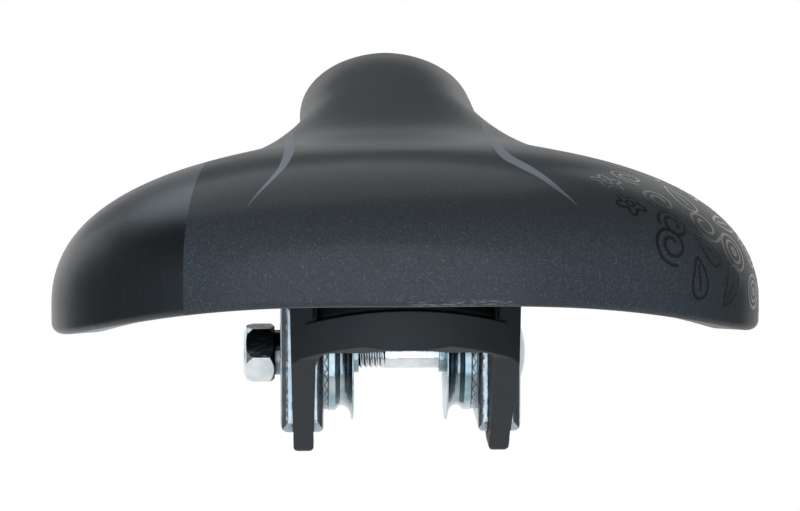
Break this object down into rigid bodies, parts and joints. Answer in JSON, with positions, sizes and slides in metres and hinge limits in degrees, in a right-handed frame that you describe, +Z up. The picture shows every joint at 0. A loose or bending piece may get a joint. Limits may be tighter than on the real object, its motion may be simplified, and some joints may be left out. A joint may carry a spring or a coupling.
{
  "type": "kids bike saddle",
  "caption": "Padded child's bicycle saddle on a moulded plastic frame, with a bolted toothed clamp that grips a saddle post from both sides.",
  "frame": {"origin": "on the clamp bolt's axis, midway between the two cups that grip the saddle post", "axes": "+X to the rider's right along the clamp bolt, +Y forward to the nose, +Z up"},
  "size_m": [0.161, 0.23, 0.0839],
  "materials": {
    "cover_vinyl": "soft grained vinyl",
    "foam": "open-cell padding",
    "base_plastic": "moulded, matt",
    "frame_plastic": "moulded, satin",
    "zinc_plate": "bright zinc plating",
    "zinc_bolt": "bright zinc plating"
  },
  "bodies": {
    "root": {"cover": "cover_vinyl", "foam_pad": "foam", "base_shell": "base_plastic", "rail_frame": "frame_plastic", "frame_screw_rear_left": "zinc_bolt", "frame_screw_rear_right": "zinc_bolt", "frame_screw_front_left": "zinc_bolt", "frame_screw_front_right": "zinc_bolt", "clamp_bolt": "zinc_bolt", "clamp_nut": "zinc_bolt", "outer_plate_left": "zinc_plate", "outer_plate_right": "zinc_plate", "inner_plate_left": "zinc_plate", "inner_plate_right": "zinc_plate", "post_cup_left": "zinc_plate", "post_cup_right": "zinc_plate"}
  },
  "joints": []
}
